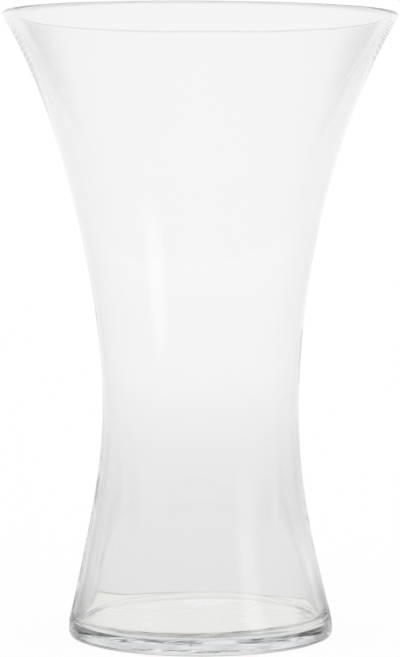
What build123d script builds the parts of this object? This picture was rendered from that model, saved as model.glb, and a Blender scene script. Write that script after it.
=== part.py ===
from build123d import *
import math
import os

# Trumpet vase in clear glass, one thick-walled vessel, in millimetres.
# The origin is on the axis at the plane that the vase stands on, with the mouth upwards.
# Radii are measured from the axis and heights from that plane.

# Overall outline
height = 300.0
rim_radius = 94.6
waist_radius = 47.3
waist_height = 110.5
foot_radius = 63.7

# Foot, from the edge that meets the table up to the soft shoulder where the wall starts to lean in
foot_edge_radius = 1.8
foot_band_height = 7.4
foot_band_lean = 2.0
shoulder_radius = 9.0
foot_lean = 13.6

# Underside, a barely hollow dome inside a flat ring
punt_depth = 0.4
contact_ring_width = 6.0

# Inside, a level floor that turns up into the wall through a tight cove
floor_thickness = 8.4
cavity_radius = 57.2
cove_radius = 1.6
cavity_lean = 14.0
waist_wall = 2.9
cavity_waist_drop = 4.5

# Mouth, a fire polished lip a little thicker than the wall under it
lip_thickness = 3.4
flare_angle_outside = 30.6
flare_angle_inside = 27.2

# How far each end of the two wall curves holds its direction before it bends,
# as shares of the height of the curve that it belongs to
foot_hold_share = 0.335
waist_hold_down_share = 0.335
waist_hold_up_share = 0.25
rim_hold_share = 0.35
cavity_foot_hold_share = 0.4
cavity_waist_hold_down_share = 0.36
cavity_waist_hold_up_share = 0.28
cavity_rim_hold_share = 0.362


def along(lean):
    """Unit direction of a wall that leans outwards from upright by an angle in degrees."""
    return Vector(math.sin(math.radians(lean)), math.cos(math.radians(lean)))


def across(lean):
    """Unit direction square to that wall, away from the axis."""
    return Vector(math.cos(math.radians(lean)), -math.sin(math.radians(lean)))


# Foot edge and shoulder, each an arc that runs on smoothly from the straight band between them
edge_centre = Vector(foot_radius - foot_edge_radius, foot_edge_radius)
edge_bottom = Vector(foot_radius - foot_edge_radius, 0)
edge_middle = edge_centre + across((90 - foot_band_lean) / 2) * foot_edge_radius
band_bottom = edge_centre + across(-foot_band_lean) * foot_edge_radius
band_rise = (foot_band_height - band_bottom.Y) / math.cos(math.radians(foot_band_lean))
band_top = band_bottom + along(-foot_band_lean) * band_rise
shoulder_centre = band_top - across(-foot_band_lean) * shoulder_radius
shoulder_middle = shoulder_centre + across(-(foot_band_lean + foot_lean) / 2) * shoulder_radius
shoulder_top = shoulder_centre + across(-foot_lean) * shoulder_radius

# Lip, most of a circle that both wall curves run into
lip_radius = lip_thickness / 2
lip_centre = Vector(rim_radius - lip_radius, height - lip_radius)
lip_outside = lip_centre + across(flare_angle_outside) * lip_radius
lip_crown = lip_centre + along((flare_angle_outside + flare_angle_inside) / 2) * lip_radius
lip_inside = lip_centre - across(flare_angle_inside) * lip_radius

# Outer wall, two curves that meet upright at the waist
waist = Vector(waist_radius, waist_height)
lower_rise = waist_height - shoulder_top.Y
upper_rise = lip_outside.Y - waist_height
outer_foot_pull = shoulder_top + along(-foot_lean) * (lower_rise * foot_hold_share)
outer_waist_low = waist - Vector(0, lower_rise * waist_hold_down_share)
outer_waist_high = waist + Vector(0, upper_rise * waist_hold_up_share)
outer_rim_pull = lip_outside - along(flare_angle_outside) * (upper_rise * rim_hold_share)

# Cove and inner wall, which has its own waist a little lower than the outer one
cove_centre = Vector(cavity_radius - cove_radius, floor_thickness + cove_radius)
cove_bottom = Vector(cavity_radius - cove_radius, floor_thickness)
cove_middle = cove_centre + across((90 - cavity_lean) / 2) * cove_radius
cove_top = cove_centre + across(-cavity_lean) * cove_radius
cavity_waist = Vector(waist_radius - waist_wall, waist_height - cavity_waist_drop)
cavity_lower_rise = cavity_waist.Y - cove_top.Y
cavity_upper_rise = lip_inside.Y - cavity_waist.Y
inner_foot_pull = cove_top + along(-cavity_lean) * (cavity_lower_rise * cavity_foot_hold_share)
inner_waist_low = cavity_waist - Vector(0, cavity_lower_rise * cavity_waist_hold_down_share)
inner_waist_high = cavity_waist + Vector(0, cavity_upper_rise * cavity_waist_hold_up_share)
inner_rim_pull = lip_inside - along(flare_angle_inside) * (cavity_upper_rise * cavity_rim_hold_share)

# Underside
ring_inner_radius = edge_bottom.X - contact_ring_width

# Half of the section, turned once round the axis
with BuildPart() as vase:
    with BuildSketch(Plane.XZ):
        with BuildLine():
            TangentArc((0, punt_depth), (ring_inner_radius, 0), tangent=(1, 0))
            Line((ring_inner_radius, 0), edge_bottom)
            ThreePointArc(edge_bottom, edge_middle, band_bottom)
            Line(band_bottom, band_top)
            ThreePointArc(band_top, shoulder_middle, shoulder_top)
            Bezier(shoulder_top, outer_foot_pull, outer_waist_low, waist)
            Bezier(waist, outer_waist_high, outer_rim_pull, lip_outside)
            ThreePointArc(lip_outside, lip_crown, lip_inside)
            Bezier(lip_inside, inner_rim_pull, inner_waist_high, cavity_waist)
            Bezier(cavity_waist, inner_waist_low, inner_foot_pull, cove_top)
            ThreePointArc(cove_top, cove_middle, cove_bottom)
            Line(cove_bottom, (0, floor_thickness))
            Line((0, floor_thickness), (0, punt_depth))
        make_face()
    revolve(axis=Axis.Z)

os.makedirs("parts", exist_ok=True)
vase.part.label = "glass_vase"
export_step(vase.part, "parts/glass_vase.step")

print("height", round(vase.part.bounding_box().max.Z, 3))
print("width at the rim", round(vase.part.bounding_box().size.X, 3))
print("glass volume in cubic centimetres", round(vase.part.volume / 1000, 1))
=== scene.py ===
import logging
import math
from dataclasses import dataclass
from enum import Enum
from typing import Any

import bpy
import numpy as np
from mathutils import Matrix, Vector


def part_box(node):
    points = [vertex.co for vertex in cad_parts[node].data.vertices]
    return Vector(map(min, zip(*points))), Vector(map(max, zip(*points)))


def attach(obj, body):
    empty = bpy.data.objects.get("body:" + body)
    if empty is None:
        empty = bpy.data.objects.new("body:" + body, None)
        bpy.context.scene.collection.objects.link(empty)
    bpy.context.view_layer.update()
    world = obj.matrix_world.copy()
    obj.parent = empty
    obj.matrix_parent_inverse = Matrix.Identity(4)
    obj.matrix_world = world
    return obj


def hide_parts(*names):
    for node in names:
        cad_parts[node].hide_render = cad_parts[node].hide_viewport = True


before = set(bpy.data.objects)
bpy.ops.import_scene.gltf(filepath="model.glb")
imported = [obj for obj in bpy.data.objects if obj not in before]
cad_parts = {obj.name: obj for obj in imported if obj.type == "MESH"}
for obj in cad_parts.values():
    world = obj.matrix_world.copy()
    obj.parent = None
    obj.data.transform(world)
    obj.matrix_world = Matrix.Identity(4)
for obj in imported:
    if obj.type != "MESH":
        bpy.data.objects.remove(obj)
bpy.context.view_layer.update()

LOG = logging.getLogger("trumpet_vase")
MM = 0.001
VASE_NODE = "glass_vase"
WHITE = (1.0, 1.0, 1.0, 1.0)
TINY = 1e-9

Curve = np.ndarray
"""Points of a section, one row each: the radius from the axis and the height, in metres."""
Stops = tuple[tuple[float, float], ...]
"""A table of places and values, in rising order of place."""
Span = tuple[float, float]
"""Two ends. For a smooth step, where it is still 0 and where it has become 1, which may be the smaller."""
Colour = tuple[float, float, float, float]
"""Red, green, blue and alpha."""


def mirrored(right: Stops) -> Stops:
    """A table that is alike on both sides of 0, from its right half."""
    return tuple((-place, value) for place, value in reversed(right)) + right


class Value:
    """A number in a shader, which adds Math nodes as it is used in an expression."""

    def __init__(self, tree: "ShaderTree", socket: bpy.types.NodeSocket) -> None:
        """Wraps one output socket of a tree."""
        self.tree = tree
        self.socket = socket

    def __add__(self, other: Any) -> "Value":
        """This value plus another."""
        return self.tree.calculate("ADD", self, other)

    def __radd__(self, other: Any) -> "Value":
        """Another value plus this one."""
        return self.tree.calculate("ADD", other, self)

    def __sub__(self, other: Any) -> "Value":
        """This value less another."""
        return self.tree.calculate("SUBTRACT", self, other)

    def __rsub__(self, other: Any) -> "Value":
        """Another value less this one."""
        return self.tree.calculate("SUBTRACT", other, self)

    def __mul__(self, other: Any) -> "Value":
        """This value times another."""
        return self.tree.calculate("MULTIPLY", self, other)

    def __rmul__(self, other: Any) -> "Value":
        """Another value times this one."""
        return self.tree.calculate("MULTIPLY", other, self)


class ShaderTree:
    """A material's or the world's nodes, emptied and built up again."""

    def __init__(self, owner: Any) -> None:
        """Takes over the nodes of a material or a world."""
        owner.use_nodes = True
        self.tree = owner.node_tree
        self.tree.nodes.clear()

    def node(self, kind: str, settings: dict[str, Any], inputs: dict[Any, Any]) -> bpy.types.Node:
        """Adds a node of any kind.

        Args:
            kind: the node's type.
            settings: its properties, which are set first.
            inputs: for each input, by name or place, a number, a colour, a socket or a Value.

        Returns:
            The new node.
        """
        made = self.tree.nodes.new(kind)
        for name, setting in settings.items():
            setattr(made, name, setting)
        for name, given in inputs.items():
            source = given.socket if isinstance(given, Value) else given
            if isinstance(source, bpy.types.NodeSocket):
                self.tree.links.new(source, made.inputs[name])
            else:
                made.inputs[name].default_value = source
        return made

    def value(self, kind: str, settings: dict[str, Any], inputs: dict[Any, Any], output: Any = 0) -> Value:
        """Adds a node as the method above does and returns one of its outputs, ready for an expression."""
        return Value(self, self.node(kind, settings, inputs).outputs[output])

    def calculate(self, operation: str, *values: Any) -> Value:
        """Adds a Math node.

        Args:
            operation: its operation.
            values: what goes into it in order, each a Value or a number.

        Returns:
            What the node gives.
        """
        return self.value("ShaderNodeMath", {"operation": operation}, dict(enumerate(values)))

    def parts(self, vector: bpy.types.NodeSocket) -> list[Value]:
        """The x, y and z of a vector."""
        made = self.node("ShaderNodeSeparateXYZ", {}, {"Vector": vector})
        return [Value(self, made.outputs[name]) for name in "XYZ"]

    def turn(self, x: Value, y: Value) -> Value:
        """The turn in degrees from straight behind the vase to a direction or a place, to the right."""
        return self.calculate("ARCTAN2", x, y) * math.degrees(1.0)

    def step(self, value: Value, start: float, end: float) -> Value:
        """A smooth rise from 0 where the value is start to 1 where it is end, which may be the smaller."""
        low, high = min(start, end), max(start, end)
        return self.value("ShaderNodeMapRange", {"interpolation_type": "SMOOTHSTEP"}, {
            "Value": value,
            "From Min": low,
            "From Max": high,
            "To Min": float(start > end),
            "To Max": float(start < end),
        })

    def ramp(self, value: Value, stops: Stops) -> Value:
        """A table read at a value, with straight lines between its stops.

        Args:
            value: where the table is read.
            stops: pairs of a place and what the table gives there, in rising order.

        Returns:
            What the table gives.
        """
        first, last = stops[0][0], stops[-1][0]
        share = self.value("ShaderNodeMapRange", {}, {"Value": value, "From Min": first, "From Max": last})
        made = self.node("ShaderNodeValToRGB", {}, {"Fac": share})
        elements = made.color_ramp.elements
        inner = [elements.new((place - first) / (last - first)) for place, _ in stops[1:-1]]
        for element, (_, grey) in zip([elements[0], *inner, elements[-1]], stops):
            element.color = (grey, grey, grey, 1.0)
        return Value(self, made.outputs["Color"])


def along(lean: float) -> np.ndarray:
    """Unit direction, as radius and height, of a wall that leans outwards by an angle in degrees."""
    return np.array([math.sin(math.radians(lean)), math.cos(math.radians(lean))])


def across(lean: float) -> np.ndarray:
    """Unit direction square to that wall, away from the axis."""
    return np.array([math.cos(math.radians(lean)), -math.sin(math.radians(lean))])


def arc(centre: np.ndarray, radius: float, start: float, end: float, count: int) -> Curve:
    """Points on a circle, evenly spaced in angle.

    Args:
        centre: the circle's centre.
        radius: its radius.
        start: the first angle in degrees, from the outward direction and positive upwards.
        end: the last angle.
        count: how many points.

    Returns:
        Centre plus radius times the cosine and the sine of each angle.
    """
    angle = np.radians(np.linspace(start, end, count))
    return centre + radius * np.stack([np.cos(angle), np.sin(angle)], axis=1)


def bezier(points: list[np.ndarray], count: int) -> Curve:
    """Points on a cubic curve with four control points.

    Args:
        points: the control points.
        count: how many points are wanted.

    Returns:
        For each share from 0 to 1 the control points times their Bernstein weights, added up.
    """
    share = np.linspace(0.0, 1.0, count)[:, None]
    rest = 1.0 - share
    first, second, third, last = points
    return (rest**3 * first + 3 * rest**2 * share * second
            + 3 * rest * share**2 * third + share**3 * last)


def smooth_step(value: np.ndarray, low: float, high: float) -> np.ndarray:
    """0 below low, 1 above high and three times the square less twice the cube of the share between them."""
    share = np.clip((value - low) / (high - low), 0.0, 1.0)
    return share * share * (3.0 - 2.0 * share)


@dataclass(frozen=True)
class Wall:
    """One face of the wall from the foot to the lip, two curves that meet upright at its waist.

    Attributes:
        foot: where the lower curve starts.
        foot_lean: how far the wall leans outwards there, in degrees.
        waist: its narrowest point.
        lip: where the upper curve ends.
        flare: how far the wall leans outwards there, in degrees.
        shares: how far each curve holds its direction at its two ends, as shares of its height:
            at the foot, under the waist, over the waist and at the lip.
    """

    foot: np.ndarray
    foot_lean: float
    waist: np.ndarray
    lip: np.ndarray
    flare: float
    shares: tuple[float, float, float, float]

    def points(self, lower_count: int, upper_count: int) -> Curve:
        """The wall from the foot to the lip, with the waist once."""
        at_foot, under_waist, over_waist, at_lip = self.shares
        lower_rise = self.waist[1] - self.foot[1]
        upper_rise = self.lip[1] - self.waist[1]
        up = np.array([0.0, 1.0])
        lower = bezier([self.foot, self.foot + along(self.foot_lean) * lower_rise * at_foot,
                        self.waist - up * lower_rise * under_waist, self.waist], lower_count)
        upper = bezier([self.waist, self.waist + up * upper_rise * over_waist,
                        self.lip - along(self.flare) * upper_rise * at_lip, self.lip], upper_count)
        return np.concatenate([lower, upper[1:]])


@dataclass(frozen=True)
class Unevenness:
    """The small faults of hand finished glass, as shifts of the true round form.

    Attributes:
        floor_tilt: how far the inside floor slopes up towards +X, in degrees.
        floor_tilt_top: the height at which the floor's tilt has died out.
        rim_tilt: how far the mouth slopes down towards +X, in degrees.
        rim_tilt_start: the height at which the mouth's tilt begins.
        sway: how far the axis wanders in depth.
        sway_turns: how many times it does so over the height.
        sway_start: where in its wave it begins, in radians.
        drift: how far it wanders sideways in millimetres, the shares of the sine and the cosine of one, two,
            three and four half turns over the height.
        wall_ripple: how far the inner wall is off round.
        wall_wave: the usual distance between two waves of the inner wall.
        wall_waves: how many such waves are added up.
        floor_ripple: how far the floor is off flat.
        floor_wave: the usual distance between two waves of the floor.
        floor_waves: how many such waves are added up.
        under_ripple: how far the underside is off its true form.
        under_wave: the usual distance between two waves of the underside.
        under_waves: how many such waves are added up.
        under_low: the height at which these begin to die out.
        under_high: the height at which they have died out.
        wave_range: the least and the greatest distance between two waves, as shares of the usual one.
        seed: sets the waves.
    """

    floor_tilt: float = 1.1
    floor_tilt_top: float = 60.0 * MM
    rim_tilt: float = 0.3
    rim_tilt_start: float = 170.0 * MM
    sway: float = 0.35 * MM
    sway_turns: float = 0.9
    sway_start: float = 0.8
    drift: tuple[tuple[float, float], ...] = ((-0.68, -0.29), (0.37, -0.56), (0.18, 0.02), (-0.19, 0.13))
    wall_ripple: float = 0.06 * MM
    wall_wave: float = 66.0 * MM
    wall_waves: int = 6
    floor_ripple: float = 0.02 * MM
    floor_wave: float = 22.0 * MM
    floor_waves: int = 9
    under_ripple: float = 0.009 * MM
    under_wave: float = 8.0 * MM
    under_waves: int = 16
    under_low: float = 0.5 * MM
    under_high: float = 2.0 * MM
    wave_range: Span = (0.6, 1.8)
    seed: int = 7

    def waves(self, across_x: np.ndarray, across_y: np.ndarray, length: float, count: int) -> np.ndarray:
        """Crossing waves, each the sine of a position along its own direction, added up.

        Args:
            across_x: where along the first axis, in metres.
            across_y: where along the second axis.
            length: the usual distance between two crests.
            count: how many waves are added.

        Returns:
            A height between about -1 and 1 at each place.
        """
        chance = np.random.default_rng(self.seed)
        heading = chance.uniform(0.0, 2.0 * math.pi, count)
        spacing = length * chance.uniform(*self.wave_range, count)
        phase = chance.uniform(0.0, 2.0 * math.pi, count)
        total = np.zeros_like(across_x)
        for turn, gap, start in zip(heading, spacing, phase):
            place = across_x * math.cos(turn) + across_y * math.sin(turn)
            total += np.sin(2.0 * math.pi * place / gap + start)
        return total / math.sqrt(count)

    def apply(self, points: np.ndarray, inside: np.ndarray, height: float, floor: float) -> np.ndarray:
        """Moves the points of the round form.

        Args:
            points: x, y and z of each point.
            inside: 1 on the inner wall and the floor, 0 outside, and between them over the lip.
            height: the vase's height.
            floor: the height of the inside floor.

        Returns:
            The moved points. The tilts add a share of x to the height, and the floor and the underside add
            their waves to it. The drift and the sway add slow sines of the height to x and y, and the inner
            wall adds its waves to the radius.
        """
        x, y, z = points.T
        near_floor = inside * (1.0 - smooth_step(z, floor, self.floor_tilt_top))
        near_rim = smooth_step(z, self.rim_tilt_start, height)
        tilt = (math.tan(math.radians(self.floor_tilt)) * near_floor
                - math.tan(math.radians(self.rim_tilt)) * near_rim)
        low_inside = 1.0 - smooth_step(z, floor, 2.0 * floor)
        low_outside = 1.0 - smooth_step(z, self.under_low, self.under_high)
        floor_waves = inside * low_inside * self.waves(x, y, self.floor_wave, self.floor_waves)
        under_waves = (1.0 - inside) * low_outside * self.waves(y, x, self.under_wave, self.under_waves)
        lift = x * tilt + self.floor_ripple * floor_waves + self.under_ripple * under_waves
        wall_waves = inside * (1.0 - low_inside) * self.waves(x, y + z, self.wall_wave, self.wall_waves)
        swell = self.wall_ripple * wall_waves / np.maximum(np.hypot(x, y), TINY)
        turn = 2.0 * math.pi * z / height
        half_turns = np.outer(turn / 2.0, np.arange(1, len(self.drift) + 1))
        sines, cosines = np.array(self.drift).T
        clear_of_table = smooth_step(z, 0.0, self.floor_tilt_top)
        aside = (np.sin(half_turns) @ sines + np.cos(half_turns) @ cosines) * MM * clear_of_table
        back = self.sway * np.sin(self.sway_turns * turn + self.sway_start) * clear_of_table
        return np.stack([x * (1.0 + swell) + aside, y * (1.0 + swell) + back, z + lift], axis=1)


@dataclass(frozen=True)
class ClearGlass:
    """Polished clear glass with a faint grey green tint that only long ways through it show.

    Attributes:
        name: the material's name.
        ior: its index of refraction.
        roughness: how far its surface scatters light.
        tint: what a long way through it leaves of each colour.
        density: how fast the tint builds up, for each metre.
    """

    name: str = "clear_glass"
    ior: float = 1.52
    roughness: float = 0.0
    tint: Colour = (0.57, 0.60, 0.58, 1.0)
    density: float = 2.0

    def material(self) -> bpy.types.Material:
        """Builds the glass, a transmitting surface over a plain absorbing inside."""
        made = bpy.data.materials.new(self.name)
        shader = ShaderTree(made)
        surface = shader.node("ShaderNodeBsdfPrincipled", {}, {
            "Base Color": WHITE,
            "Roughness": self.roughness,
            "IOR": self.ior,
            "Transmission Weight": 1.0,
        })
        inside = shader.node("ShaderNodeVolumeAbsorption", {}, {"Color": self.tint, "Density": self.density})
        shader.node("ShaderNodeOutputMaterial", {}, {
            "Surface": surface.outputs["BSDF"],
            "Volume": inside.outputs["Volume"],
        })
        return made


@dataclass(frozen=True)
class Steps:
    """How finely the vessel's skin is cut.

    Attributes:
        dome: points on the dome under the foot.
        ring: points across the flat ring.
        foot_edge: points on the edge that meets the table.
        band: points on the band round the foot.
        shoulder: points on the shoulder.
        lower_wall: points on each side of the wall from the foot to its waist.
        upper_wall: points on each side of the wall from its waist to the lip.
        lip: points on the lip.
        cove: points on the cove.
        floor: points on the inside floor.
        turns: faces round the axis.
    """

    dome: int = 22
    ring: int = 5
    foot_edge: int = 12
    band: int = 6
    shoulder: int = 7
    lower_wall: int = 60
    upper_wall: int = 88
    lip: int = 25
    cove: int = 16
    floor: int = 22
    turns: int = 240


@dataclass(frozen=True)
class GlassVase:
    """The vessel, one closed skin of glass turned round the axis.

    Attributes:
        height: how tall it is.
        rim_radius: from the axis to the outside of the lip.
        waist_radius: outside radius at the waist.
        waist_height: height of the outer waist.
        foot_radius: outside radius of the foot.
        foot_edge_radius: rounding of the edge that meets the table.
        foot_band_height: height of the nearly upright band round the foot.
        foot_band_lean: how far that band leans inwards, in degrees.
        shoulder_radius: rounding where the wall leaves the band.
        foot_lean: how far the wall leans inwards over the band, in degrees.
        punt_depth: height of the shallow dome under the foot.
        contact_ring_width: width of the flat ring that it stands on.
        floor_thickness: height of the inside floor.
        cavity_radius: the widest inside radius, at the cove.
        cove_radius: rounding between the floor and the inner wall.
        cavity_lean: how far the inner wall leans inwards over the cove, in degrees.
        waist_wall: thickness of the wall at the waist.
        cavity_waist_drop: how far the inner waist lies under the outer one.
        lip_thickness: thickness of the rounded lip.
        flare_outside: how far the outer wall leans outwards at the lip, in degrees.
        flare_inside: the same for the inner wall.
        outer_shares: holds of the outer wall's two curves.
        inner_shares: holds of the inner wall's two curves.
        steps: how finely its skin is cut.
        finish: its glass.
        faults: its unevenness.
    """

    height: float
    rim_radius: float
    waist_radius: float = 47.3 * MM
    waist_height: float = 110.5 * MM
    foot_radius: float = 63.7 * MM
    foot_edge_radius: float = 1.8 * MM
    foot_band_height: float = 7.4 * MM
    foot_band_lean: float = 2.0
    shoulder_radius: float = 9.0 * MM
    foot_lean: float = 13.6
    punt_depth: float = 0.4 * MM
    contact_ring_width: float = 6.0 * MM
    floor_thickness: float = 8.4 * MM
    cavity_radius: float = 57.2 * MM
    cove_radius: float = 1.6 * MM
    cavity_lean: float = 14.0
    waist_wall: float = 2.9 * MM
    cavity_waist_drop: float = 4.5 * MM
    lip_thickness: float = 3.4 * MM
    flare_outside: float = 30.6
    flare_inside: float = 27.2
    outer_shares: tuple[float, float, float, float] = (0.335, 0.335, 0.25, 0.35)
    inner_shares: tuple[float, float, float, float] = (0.4, 0.36, 0.28, 0.362)
    steps: Steps = Steps()
    finish: ClearGlass = ClearGlass()
    faults: Unevenness = Unevenness()

    def underside(self) -> Curve:
        """The shallow dome, an arc through its crown and the ring's inner edge, and then the flat ring."""
        ring_outer = self.foot_radius - self.foot_edge_radius
        ring_inner = ring_outer - self.contact_ring_width
        dome_radius = (ring_inner**2 + self.punt_depth**2) / (2.0 * self.punt_depth)
        half_angle = math.degrees(math.asin(ring_inner / dome_radius))
        dome_centre = np.array([0.0, self.punt_depth - dome_radius])
        dome = arc(dome_centre, dome_radius, 90.0, 90.0 - half_angle, self.steps.dome)
        ring = np.linspace([ring_inner, 0.0], [ring_outer, 0.0], self.steps.ring)
        return np.concatenate([dome, ring[1:]])

    def foot(self) -> Curve:
        """The rounded edge at the table, the band and the soft shoulder over it."""
        edge_centre = np.array([self.foot_radius - self.foot_edge_radius, self.foot_edge_radius])
        edge = arc(edge_centre, self.foot_edge_radius, -90.0, self.foot_band_lean, self.steps.foot_edge)
        rise = (self.foot_band_height - edge[-1, 1]) / math.cos(math.radians(self.foot_band_lean))
        band_top = edge[-1] + along(-self.foot_band_lean) * rise
        band = np.linspace(edge[-1], band_top, self.steps.band)
        shoulder_centre = band_top - across(-self.foot_band_lean) * self.shoulder_radius
        shoulder = arc(shoulder_centre, self.shoulder_radius, self.foot_band_lean, self.foot_lean,
                       self.steps.shoulder)
        return np.concatenate([edge[1:], band[1:], shoulder[1:]])

    def lip_centre(self) -> np.ndarray:
        """Centre of the rounded lip, whose top sets the height and whose side sets the rim's radius."""
        return np.array([self.rim_radius, self.height]) - self.lip_thickness / 2.0

    def outer_wall(self, foot_top: np.ndarray) -> Curve:
        """The outer face of the wall, from the shoulder to the lip."""
        lip = self.lip_centre() + across(self.flare_outside) * self.lip_thickness / 2.0
        waist = np.array([self.waist_radius, self.waist_height])
        wall = Wall(foot_top, -self.foot_lean, waist, lip, self.flare_outside, self.outer_shares)
        return wall.points(self.steps.lower_wall, self.steps.upper_wall)

    def inner_wall(self, cove_top: np.ndarray) -> Curve:
        """The inner face of the wall, from the cove to the lip."""
        lip = self.lip_centre() - across(self.flare_inside) * self.lip_thickness / 2.0
        waist = np.array([self.waist_radius - self.waist_wall, self.waist_height - self.cavity_waist_drop])
        wall = Wall(cove_top, -self.cavity_lean, waist, lip, self.flare_inside, self.inner_shares)
        return wall.points(self.steps.lower_wall, self.steps.upper_wall)

    def cove(self) -> Curve:
        """The rounding from the floor up into the inner wall."""
        centre = np.array([self.cavity_radius - self.cove_radius, self.floor_thickness + self.cove_radius])
        return arc(centre, self.cove_radius, -90.0, self.cavity_lean, self.steps.cove)

    def section(self) -> tuple[Curve, np.ndarray]:
        """Half of the section, from the middle of the underside over the lip to the middle of the floor.

        Returns:
            Its points, and for each how far it belongs to the inside, from 0 to 1.
        """
        under, foot = self.underside(), self.foot()
        outer = self.outer_wall(foot[-1])
        lip = arc(self.lip_centre(), self.lip_thickness / 2.0, -self.flare_outside, 180.0 - self.flare_inside,
                  self.steps.lip)
        cove = self.cove()
        inner = self.inner_wall(cove[-1])[::-1]
        floor = np.linspace([0.0, self.floor_thickness], cove[0], self.steps.floor)[::-1]
        outside = [under, foot, outer[1:]]
        inside = [inner[1:], cove[::-1][1:], floor[1:]]
        points = np.concatenate([*outside, lip[1:], *inside])
        share = np.concatenate([
            np.zeros(sum(len(part) for part in outside)),
            np.linspace(0.0, 1.0, len(lip) - 1),
            np.ones(sum(len(part) for part in inside)),
        ])
        return points, share

    def skin(self) -> tuple[np.ndarray, list[list[int]]]:
        """The section turned round the axis.

        Returns:
            The points, and the corners of each face. A point at section place i and turn j has the radius
            times the cosine and the sine of the turn's angle, and the height. The two ends of the section
            lie on the axis, where the faces have three corners, and all others have four.
        """
        section, inside = self.section()
        rings, count = section[1:-1], self.steps.turns
        angle = np.arange(count) * (2.0 * math.pi / count)
        radius, height = rings[:, :1], rings[:, 1:]
        ring_points = np.stack([radius * np.cos(angle), radius * np.sin(angle),
                                np.broadcast_to(height, (len(rings), count))], axis=2).reshape(-1, 3)
        ends = np.array([[0.0, 0.0, section[0, 1]], [0.0, 0.0, section[-1, 1]]])
        points = np.concatenate([ring_points, ends])
        belongs = np.concatenate([np.repeat(inside[1:-1], count), [0.0, 1.0]])
        points = self.faults.apply(points, belongs, self.height, self.floor_thickness)
        row, turn = np.meshgrid(np.arange(len(rings) - 1), np.arange(count), indexing="ij")
        following = (turn + 1) % count
        sides = np.stack([row * count + turn, row * count + following,
                          (row + 1) * count + following, (row + 1) * count + turn], axis=2).reshape(-1, 4)
        under, floor = len(ring_points), len(ring_points) + 1
        here, there = np.arange(count), (np.arange(count) + 1) % count
        last = (len(rings) - 1) * count
        first_fan = np.stack([here, np.full(count, under), there], axis=1)
        last_fan = np.stack([last + here, last + there, np.full(count, floor)], axis=1)
        return points, first_fan.tolist() + sides.tolist() + last_fan.tolist()

    def build(self) -> bpy.types.Object:
        """Makes the piece, dresses it and puts it on its body in place of the plain solid."""
        points, faces = self.skin()
        mesh = bpy.data.meshes.new("vase_glass")
        mesh.from_pydata(points.tolist(), [], faces)
        mesh.validate()
        mesh.shade_smooth()
        mesh.materials.append(self.finish.material())
        piece = bpy.data.objects.new("vase_glass", mesh)
        bpy.context.scene.collection.objects.link(piece)
        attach(piece, "root")
        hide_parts(VASE_NODE)
        return piece


class Sight(Enum):
    """The kinds of ray that the room can answer in its own way."""

    CAMERA = "Is Camera Ray"
    DIFFUSE = "Is Diffuse Ray"

    def share(self, shader: ShaderTree) -> Value:
        """1 for this kind of ray and 0 for any other."""
        return shader.value("ShaderNodeLightPath", {}, {}, self.value)


class Spot:
    """What a shader knows of a place that glass sees and of the sight that meets it.

    Attributes:
        x: how far the place is to the right of the vase's axis, in metres.
        y: how far it is behind the axis.
        z: its height over the table.
        distance: from the foot of the axis.
        turn: the turn of the place in degrees.
        heading: the turn in degrees of the direction in which the sight runs.
        steepness: how steeply the sight looks down, from 0 where it is level to 1 where it is upright.
    """

    def __init__(self, shader: ShaderTree) -> None:
        """Adds the nodes that find them."""
        geometry = shader.node("ShaderNodeNewGeometry", {}, {})
        place = geometry.outputs["Position"]
        back_x, back_y, self.steepness = shader.parts(geometry.outputs["Incoming"])
        self.x, self.y, self.z = shader.parts(place)
        self.distance = shader.value("ShaderNodeVectorMath", {"operation": "LENGTH"}, {0: place}, "Value")
        self.turn = shader.turn(self.x, self.y)
        self.heading = shader.turn(back_x * -1.0, back_y * -1.0)


@dataclass(frozen=True)
class ShadeStreaks:
    """Long uneven dark streaks of painted shade, on the table round the foot and on the card, which the thick
    glass of the base shows.

    Attributes:
        length: how far the sine of a turn changes along one streak.
        levels: value of the noise and how dark a streak is there.
    """

    length: float = 0.24
    levels: Stops = ((0.0, 1.0), (0.38, 1.0), (0.47, 0.6), (0.55, 0.0), (1.0, 0.0))

    def darkness(self, shader: ShaderTree, turn: Value, across_them: Value) -> Value:
        """Where the streaks are, from a stretched noise.

        Args:
            shader: the tree that asks.
            turn: a turn in degrees, whose sine is what a streak runs along.
            across_them: what they follow one another along, in widths of one streak.

        Returns:
            1 where a streak is darkest and 0 between two streaks.
        """
        run = shader.calculate("SINE", turn * math.radians(1.0)) * (1.0 / self.length)
        grid = shader.node("ShaderNodeCombineXYZ", {}, {"X": run, "Y": across_them})
        noise = shader.value("ShaderNodeTexNoise", {}, {
            "Vector": grid.outputs["Vector"],
            "Scale": 1.0,
            "Detail": 2.0,
        })
        return shader.ramp(noise, self.levels)


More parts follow.
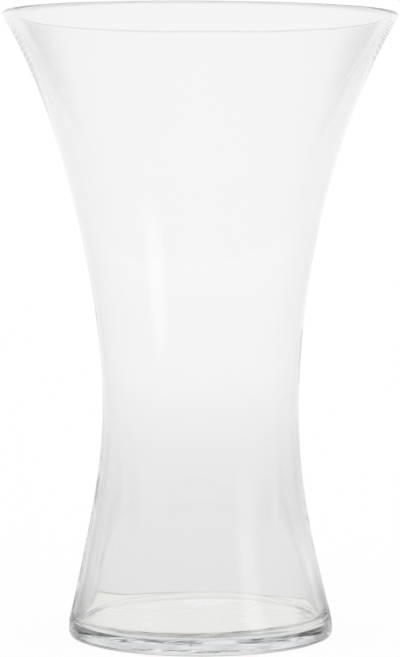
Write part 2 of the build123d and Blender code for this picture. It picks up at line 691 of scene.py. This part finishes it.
@dataclass(frozen=True)
class SoftWindow:
    """A tall soft source beside the camera, which the glass mirrors and nothing else shows.

    Attributes:
        turn: where its middle is, in degrees to the right of the camera as seen from the vase.
        half_width: from its middle to where it is half as bright, in degrees.
        low: elevation at which it begins.
        high: elevation at which it ends.
        softness: how wide its fading edges are, in degrees.
        gain: how much brighter than the room it is.
    """

    turn: float = 51.0
    half_width: float = 9.0
    low: float = 4.0
    high: float = 22.0
    softness: float = 9.0
    gain: float = 0.6

    def light(self, shader: ShaderTree, x: Value, y: Value, elevation: Value) -> Value:
        """What the source adds in a direction.

        Args:
            shader: the world's tree.
            x: the direction's part to the right.
            y: its part away from the camera.
            elevation: its elevation in degrees.

        Returns:
            The gain times three smooth steps: one on the turn away from the source's middle, which is the
            arc cosine of the level direction's share along it, and one at each end of its height.
        """
        turn, half = math.radians(self.turn), self.softness / 2.0
        level = shader.calculate("SQRT", x * x + y * y + TINY)
        share = shader.calculate("DIVIDE", x * math.sin(turn) - y * math.cos(turn), level)
        aside = shader.calculate("ARCCOSINE", share) * math.degrees(1.0)
        near = shader.step(aside, self.half_width + half, self.half_width - half)
        over = shader.step(elevation, self.low - half, self.low + half)
        under = shader.step(elevation, self.high + half, self.high - half)
        return near * over * under * self.gain


@dataclass(frozen=True)
class ShadeCard:
    """A low curved card of painted shade close behind the vase, which only glass sees and which darkens what
    lies behind it.

    Attributes:
        radius: from the vase's axis.
        height: how tall it is.
        half_turn: how far it reaches to each side, in degrees from straight behind the vase.
        faces: how many faces it has along its curve.
        shade: turn of the sight in degrees and the share of the light that the card takes there.
        rise: height on the card in metres and how far the shade holds there.
        spread: turn of a place on the card in degrees and how far the shade holds there.
        side_rise: height on the card's sides in metres and the share of the light that they take there.
        side_spread: turn of a place on the card in degrees and how far it belongs to its sides.
        streaks: its dark streaks of painted shade.
        streak_rise: height of one streak.
        streak_spread: how many times shorter they are along the turn of a sight.
        plain_share: what the shade is between two streaks.
        streak_share: what a streak adds to that.
    """

    radius: float = 125.0 * MM
    height: float = 32.0 * MM
    half_turn: float = 76.0
    faces: int = 60
    shade: Stops = mirrored(((14.0, 0.0), (20.0, 0.33), (28.0, 0.65), (36.0, 0.85), (58.0, 0.85), (70.0, 0.75),
                             (90.0, 0.5), (180.0, 0.0)))
    rise: Stops = ((0.0, 0.0), (0.003, 0.6), (0.006, 1.0), (0.022, 1.0), (0.03, 0.0), (0.032, 0.0))
    spread: Stops = mirrored(((40.0, 1.0), (45.0, 0.0), (180.0, 0.0)))
    side_rise: Stops = ((0.0, 0.5), (0.006, 0.45), (0.011, 0.34), (0.017, 0.26), (0.026, 0.12), (0.032, 0.0))
    side_spread: Stops = ((-180.0, 0.0), (-75.0, 0.0), (-70.0, 0.85), (-56.0, 0.85), (-50.0, 0.0), (42.0, 0.0),
                          (50.0, 1.0), (70.0, 1.0), (75.0, 0.0), (180.0, 0.0))
    streaks: ShadeStreaks = ShadeStreaks()
    streak_rise: float = 5.0 * MM
    streak_spread: float = 1.3
    plain_share: float = 0.75
    streak_share: float = 0.4

    def strip(self) -> bpy.types.Mesh:
        """The card's form, a strip of a cylinder that stands on the table."""
        angle = np.radians(np.linspace(-self.half_turn, self.half_turn, self.faces + 1))
        around = np.stack([self.radius * np.sin(angle), self.radius * np.cos(angle)], axis=1)
        low = np.column_stack([around, np.zeros(len(around))])
        high = np.column_stack([around, np.full(len(around), self.height)])
        here = np.arange(self.faces)
        faces = np.stack([here, here + 1, here + len(around) + 1, here + len(around)], axis=1)
        mesh = bpy.data.meshes.new("studio_shade_card")
        mesh.from_pydata(np.concatenate([low, high]).tolist(), [], faces.tolist())
        return mesh

    def build(self) -> None:
        """Stands the card up, which lets through what its shades leave and which only glass sees."""
        mesh = self.strip()
        material = bpy.data.materials.new("studio_shade_card")
        shader = ShaderTree(material)
        spot = Spot(shader)
        rows = spot.z * (1.0 / self.streak_rise)
        streak = self.streaks.darkness(shader, spot.heading * self.streak_spread, rows)
        middle = (shader.ramp(spot.heading, self.shade) * shader.ramp(spot.z, self.rise)
                  * shader.ramp(spot.turn, self.spread) * (self.plain_share + self.streak_share * streak))
        sides = shader.ramp(spot.z, self.side_rise) * shader.ramp(spot.turn, self.side_spread)
        left = 1.0 - (middle + sides)
        grey = shader.node("ShaderNodeCombineXYZ", {}, {"X": left, "Y": left, "Z": left})
        clear = shader.node("ShaderNodeBsdfTransparent", {}, {"Color": grey.outputs["Vector"]})
        shader.node("ShaderNodeOutputMaterial", {}, {"Surface": clear.outputs["BSDF"]})
        mesh.materials.append(material)
        card = bpy.data.objects.new("studio_shade_card", mesh)
        card.visible_camera = False
        card.visible_diffuse = False
        card.visible_shadow = False
        bpy.context.scene.collection.objects.link(card)


@dataclass(frozen=True)
class Table:
    """The table under the vase as glass sees it, round in front and cut off close behind the vase.

    A steep sight meets it through the inside floor of the vase, and a low one through the thick base.

    Attributes:
        colour: its colour.
        ring_colour: what a low sight has instead close round the foot.
        ring_end: distances between which that colour gives way to the table's.
        levels: distance from the axis in metres and the brightness there, with painted shade under the foot.
        round_foot: distances between which the place under the foot gives way to the place round it.
        low_sight: steepness of a sight between which it turns from steep to low.
        steep_share: what a steep sight keeps of the brightness round the foot.
        ring_reach: distance and the share of the light that a painted contact shadow under the foot's ring
            takes there.
        ring_share: turn of a place in degrees and how far that painted contact shadow holds there.
        near_shade: turn of a place and the share of the light that is missing there, round the foot.
        side_shade: turn of a sight and the share that a low one misses there, round the foot.
        close: distances between which those two shades fade in.
        streaks: the dark streaks of painted shade round the foot.
        streak_depth: depth of one on the table.
        streak_spread: how many times shorter they are along the turn of a sight.
        streak_reach: distance and how far low sights see them there.
        front_reach: distance and how far steep sights see them there.
        front_share: turn of a place and how far steep sights see them there.
        plain_share: what the side shade is between two streaks.
        streak_share: what a streak adds to that.
        back: distance aside of the axis and how far behind it the table ends there.
        edge_line: half the depth of the dark line along that end.
        edge_level: brightness of that line.
        whole: distances between which the table fades in over the floor.
    """

    colour: Colour = (1.0, 0.99, 0.945, 1.0)
    ring_colour: Colour = (0.985, 0.99, 1.01, 1.0)
    ring_end: Span = (104.0 * MM, 98.0 * MM)
    levels: Stops = ((0.0, 0.703), (0.06, 0.703), (0.063, 0.87), (0.1, 0.87), (0.106, 0.83), (0.2, 0.83))
    round_foot: Span = (58.0 * MM, 62.0 * MM)
    low_sight: Span = (0.34, 0.29)
    steep_share: float = 0.93
    ring_reach: Stops = ((0.0, 0.0), (0.053, 0.0), (0.056, 0.2), (0.0605, 0.2), (0.063, 0.0), (0.2, 0.0))
    ring_share: Stops = mirrored(((80.0, 0.0), (95.0, 1.0), (180.0, 1.0)))
    near_shade: Stops = ((-180.0, 0.0), (-85.0, 0.0), (-74.0, 0.5), (-66.0, 0.68), (-58.0, 0.6), (-53.0, 0.1),
                         (-46.0, 0.0), (46.0, 0.0), (53.0, 0.05), (60.0, 0.4), (66.0, 0.6), (74.0, 0.5),
                         (85.0, 0.0), (180.0, 0.0))
    side_shade: Stops = ((-180.0, 0.0), (-95.0, 0.0), (-78.0, 0.75), (-62.0, 0.78), (-56.0, 0.6), (-49.0, 0.15),
                         (-42.0, 0.0), (42.0, 0.0), (49.0, 0.1), (56.0, 0.5), (62.0, 0.74), (78.0, 0.7),
                         (95.0, 0.0), (180.0, 0.0))
    close: Span = (150.0 * MM, 110.0 * MM)
    streaks: ShadeStreaks = ShadeStreaks()
    streak_depth: float = 3.0 * MM
    streak_spread: float = 1.3
    streak_reach: Stops = ((0.0, 0.0), (0.066, 0.0), (0.07, 0.2), (0.079, 0.25), (0.084, 0.8), (0.095, 0.8),
                           (0.1, 0.0), (0.2, 0.0))
    front_reach: Stops = ((0.0, 0.0), (0.042, 0.0), (0.047, 0.8), (0.057, 0.8), (0.06, 0.0), (0.2, 0.0))
    front_share: Stops = mirrored(((110.0, 0.0), (125.0, 1.0), (180.0, 1.0)))
    plain_share: float = 0.75
    streak_share: float = 0.5
    back: Stops = ((0.0, 0.12), (0.03, 0.1195), (0.041, 0.1185), (0.053, 0.1235), (0.061, 0.1285),
                   (0.072, 0.1365), (0.089, 0.1505), (0.094, 0.1525), (0.1, 0.088), (0.2, 0.088))
    edge_line: float = 3.5 * MM
    edge_level: float = 0.5
    whole: Span = (350.0 * MM, 200.0 * MM)

    def brightness(self, shader: ShaderTree, spot: Spot, low: Value, outside: Value) -> Value:
        """How bright the table is on this side of its end.

        Args:
            shader: the floor's tree.
            spot: the place and the sight.
            low: 1 for a low sight and 0 for a steep one.
            outside: 0 under the foot and 1 round it.

        Returns:
            The level at the distance, times what the steep sight and each of the five shades leave.
        """
        close = shader.step(spot.distance, *self.close)
        rows = spot.distance * (1.0 / self.streak_depth)
        streak = self.streaks.darkness(shader, spot.heading * self.streak_spread, rows)
        steep = (1.0 - low) * (1.0 - self.steep_share)
        # Painted contact shadow under the ring that the foot stands on, in front.
        ring = shader.ramp(spot.distance, self.ring_reach) * shader.ramp(spot.turn, self.ring_share)
        near = close * shader.ramp(spot.turn, self.near_shade)
        side = (close * low * shader.ramp(spot.heading, self.side_shade)
                * (self.plain_share + self.streak_share * streak))
        behind_base = low * streak * shader.ramp(spot.distance, self.streak_reach)
        front = (shader.ramp(spot.distance, self.front_reach) * shader.ramp(spot.turn, self.front_share)
                 * (1.0 - low) * self.streaks.darkness(shader, spot.turn, rows))
        return (shader.ramp(spot.distance, self.levels) * (1.0 - outside * steep) * (1.0 - ring)
                * (1.0 - outside * near) * (1.0 - outside * side) * (1.0 - behind_base) * (1.0 - front))

    def surface(self, shader: ShaderTree, spot: Spot) -> tuple[bpy.types.Node, Value]:
        """The table's own light, and the share of the floor that it covers.

        Args:
            shader: the floor's tree.
            spot: the place and the sight.

        Returns:
            An Emission node, and 1 on the table and 0 beyond its end.
        """
        low = shader.step(spot.steepness, *self.low_sight)
        outside = shader.step(spot.distance, *self.round_foot)
        past_end = spot.y - shader.ramp(shader.calculate("ABSOLUTE", spot.x), self.back)
        line = shader.step(past_end, -self.edge_line, 0.0)
        strength = self.brightness(shader, spot, low, outside) * (1.0 - line) + line * self.edge_level
        colour = shader.node("ShaderNodeMix", {"data_type": "RGBA"}, {
            0: outside * low * shader.step(spot.distance, *self.ring_end),
            6: self.colour,
            7: self.ring_colour,
        })
        light = shader.node("ShaderNodeEmission", {}, {"Color": colour.outputs[2], "Strength": strength})
        cover = shader.step(past_end, self.edge_line, 0.0) * shader.step(spot.distance, *self.whole)
        return light, cover


@dataclass(frozen=True)
class Floor:
    """The wide floor round the table, plain white with a faint shadow to the camera.

    Attributes:
        size: side of the square.
        gap: how far it lies under the vase, so that the two faces don't meet.
        colour: its matt colour.
        glow: share of it that shines by itself, which keeps its shadow faint.
        glow_strength: how brightly that share shines.
        levels: distance from the axis in metres and the brightness that glass sees there, a painted falloff of
            light that is dimmer near the vase.
        back_shade: turn of a place in degrees and the share of the light that glass misses there.
        back_reach: distance and how far that shade holds there.
    """

    size: float = 8.0
    gap: float = 0.15 * MM
    colour: Colour = (0.9, 0.9, 0.9, 1.0)
    glow: float = 0.9
    glow_strength: float = 1.02
    levels: Stops = ((0.0, 0.76), (0.16, 0.77), (0.33, 0.79), (0.67, 0.85), (1.44, 0.905), (3.2, 0.93),
                     (4.0, 0.935))
    back_shade: Stops = ((-180.0, 0.0), (-48.0, 0.0), (-41.0, 0.25), (-36.0, 0.28), (-33.5, 0.08), (-31.0, 0.0),
                         (29.0, 0.0), (31.0, 0.12), (35.0, 0.2), (41.0, 0.18), (48.0, 0.0), (180.0, 0.0))
    back_reach: Stops = ((0.0, 1.0), (0.3, 1.0), (0.4, 0.7), (0.5, 0.3), (0.7, 0.0), (4.0, 0.0))

    def square(self) -> bpy.types.Mesh:
        """Its form."""
        half = self.size / 2.0
        mesh = bpy.data.meshes.new("studio_floor")
        corners = [(-half, -half), (half, -half), (half, half), (-half, half)]
        mesh.from_pydata([(x, y, -self.gap) for x, y in corners], [], [(0, 1, 2, 3)])
        return mesh

    def for_camera(self, shader: ShaderTree) -> bpy.types.Node:
        """What the camera sees."""
        matt = shader.node("ShaderNodeBsdfDiffuse", {}, {"Color": self.colour})
        glow = shader.node("ShaderNodeEmission", {}, {"Color": WHITE, "Strength": self.glow_strength})
        return shader.node("ShaderNodeMixShader", {}, {
            0: self.glow,
            1: matt.outputs["BSDF"],
            2: glow.outputs["Emission"],
        })

    def for_glass(self, shader: ShaderTree, table: Table, side_levels: Stops) -> bpy.types.Node:
        """What glass sees, the table and round it the floor, whose brightness the sides of the room share."""
        spot = Spot(shader)
        near, on_table = table.surface(shader, spot)
        behind = shader.ramp(spot.turn, self.back_shade) * shader.ramp(spot.distance, self.back_reach)
        level = shader.ramp(spot.distance, self.levels) * shader.ramp(spot.turn, side_levels)
        far = shader.node("ShaderNodeEmission", {}, {"Color": WHITE, "Strength": level * (1.0 - behind)})
        return shader.node("ShaderNodeMixShader", {}, {
            0: on_table,
            1: far.outputs["Emission"],
            2: near.outputs["Emission"],
        })

    def build(self, table: Table, side_levels: Stops) -> None:
        """Lays the floor with the table on it.

        Args:
            table: the table.
            side_levels: turn in degrees and what the room's sides leave of the floor's brightness.
        """
        mesh = self.square()
        material = bpy.data.materials.new("studio_floor")
        shader = ShaderTree(material)
        both = shader.node("ShaderNodeMixShader", {}, {
            0: Sight.CAMERA.share(shader),
            1: self.for_glass(shader, table, side_levels).outputs["Shader"],
            2: self.for_camera(shader).outputs["Shader"],
        })
        shader.node("ShaderNodeOutputMaterial", {}, {"Surface": both.outputs["Shader"]})
        mesh.materials.append(material)
        floor = bpy.data.objects.new("studio_floor", mesh)
        bpy.context.scene.collection.objects.link(floor)


@dataclass(frozen=True)
class Room:
    """The room, plain white to the camera and pale grey to glass, which shows little but what is round it.

    Attributes:
        matt_light: its light on matt surfaces.
        levels: elevation in degrees and the brightness that glass sees there.
        behind_levels: the same far behind the vase, where a dark band runs across the room.
        behind_share: turn in degrees and how far the levels behind hold there.
        side_levels: turn in degrees and what it leaves of the brightness.
        window: the soft source.
    """

    matt_light: float = 0.9
    levels: Stops = ((-90.0, 0.92), (0.0, 0.92), (30.0, 0.93), (90.0, 0.86))
    behind_levels: Stops = ((-90.0, 0.92), (17.0, 0.92), (21.0, 0.35), (33.0, 0.35), (46.0, 0.84), (90.0, 0.86))
    behind_share: Stops = mirrored(((40.0, 1.0), (65.0, 0.0), (180.0, 0.0)))
    side_levels: Stops = ((-180.0, 1.04), (-120.0, 1.0), (-90.0, 0.95), (-70.0, 0.89), (-52.0, 0.87),
                          (-42.0, 0.91), (-30.0, 0.96), (-20.0, 0.99), (-14.0, 1.0), (14.0, 1.0), (20.0, 0.99),
                          (30.0, 0.95), (44.0, 0.93), (56.0, 0.88), (72.0, 0.9), (90.0, 0.97), (120.0, 1.0),
                          (180.0, 1.04))
    window: SoftWindow = SoftWindow()

    def build(self) -> None:
        """Sets up the world."""
        world = bpy.data.worlds.new("studio_room")
        bpy.context.scene.world = world
        shader = ShaderTree(world)
        x, y, z = shader.parts(shader.node("ShaderNodeTexCoord", {}, {}).outputs["Generated"])
        elevation = shader.calculate("ARCSINE", z) * math.degrees(1.0)
        turn = shader.turn(x, y)
        behind = shader.ramp(turn, self.behind_share)
        around = (shader.ramp(elevation, self.behind_levels) * behind
                  + shader.ramp(elevation, self.levels) * (1.0 - behind))
        glass = around * shader.ramp(turn, self.side_levels) + self.window.light(shader, x, y, elevation)
        camera, matt = Sight.CAMERA.share(shader), Sight.DIFFUSE.share(shader)
        strength = camera + matt * self.matt_light + (1.0 - camera) * (1.0 - matt) * glass
        background = shader.node("ShaderNodeBackground", {}, {"Color": WHITE, "Strength": strength})
        shader.node("ShaderNodeOutputWorld", {}, {"Surface": background.outputs["Background"]})


@dataclass(frozen=True)
class Viewpoint:
    """The camera in front of the vase, looking slightly down.

    Attributes:
        distance: from the axis of the vase.
        height: over the floor.
        aside: to the right of the axis.
        pitch: how far it looks down, in degrees.
        focal_length: in millimetres on the sensor below.
        sensor: the long side of the sensor, in millimetres.
        reach: how far it sees.
    """

    distance: float = 1.290
    height: float = 0.2297
    aside: float = -0.3 * MM
    pitch: float = 3.615
    focal_length: float = 146.85
    sensor: float = 36.0
    reach: float = 32.0

    def build(self) -> None:
        """Sets the camera up."""
        lens = bpy.data.cameras.new("camera")
        lens.sensor_width = self.sensor
        lens.lens = self.focal_length
        lens.clip_end = self.reach
        camera = bpy.data.objects.new("camera", lens)
        camera.location = (self.aside, -self.distance, self.height)
        camera.rotation_euler = (math.radians(90.0 - self.pitch), 0.0, 0.0)
        bpy.context.scene.collection.objects.link(camera)
        bpy.context.scene.camera = camera


@dataclass(frozen=True)
class Studio:
    """Everything round the vase.

    Attributes:
        room: the room.
        floor: the floor.
        table: the table that the vase stands on.
        card: the low card of painted shade behind the vase.
        viewpoint: the camera.
        bounces: how far light is followed. The wall and the lip guide it round the vase, and where it is
            cut off early, black teeth show along the outline.
    """

    room: Room = Room()
    floor: Floor = Floor()
    table: Table = Table()
    card: ShadeCard = ShadeCard()
    viewpoint: Viewpoint = Viewpoint()
    bounces: int = 1000

    def build(self) -> None:
        """Sets all of it up."""
        self.room.build()
        self.floor.build(self.table, self.room.side_levels)
        self.card.build()
        self.viewpoint.build()
        scene = bpy.context.scene
        scene.view_settings.view_transform = "Standard"
        scene.cycles.max_bounces = self.bounces
        scene.cycles.transmission_bounces = self.bounces
        scene.cycles.glossy_bounces = self.bounces


def main() -> None:
    """Builds the studio and the vase in order, and reports each piece."""
    logging.basicConfig(level=logging.INFO, format="%(name)s: %(message)s")
    low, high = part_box(VASE_NODE)
    Studio().build()
    vase = GlassVase(height=high.z - low.z, rim_radius=high.x)
    piece = vase.build()
    LOG.info("%s: %d points, %d faces", piece.name, len(piece.data.vertices), len(piece.data.polygons))


if __name__ == "__main__":
    main()
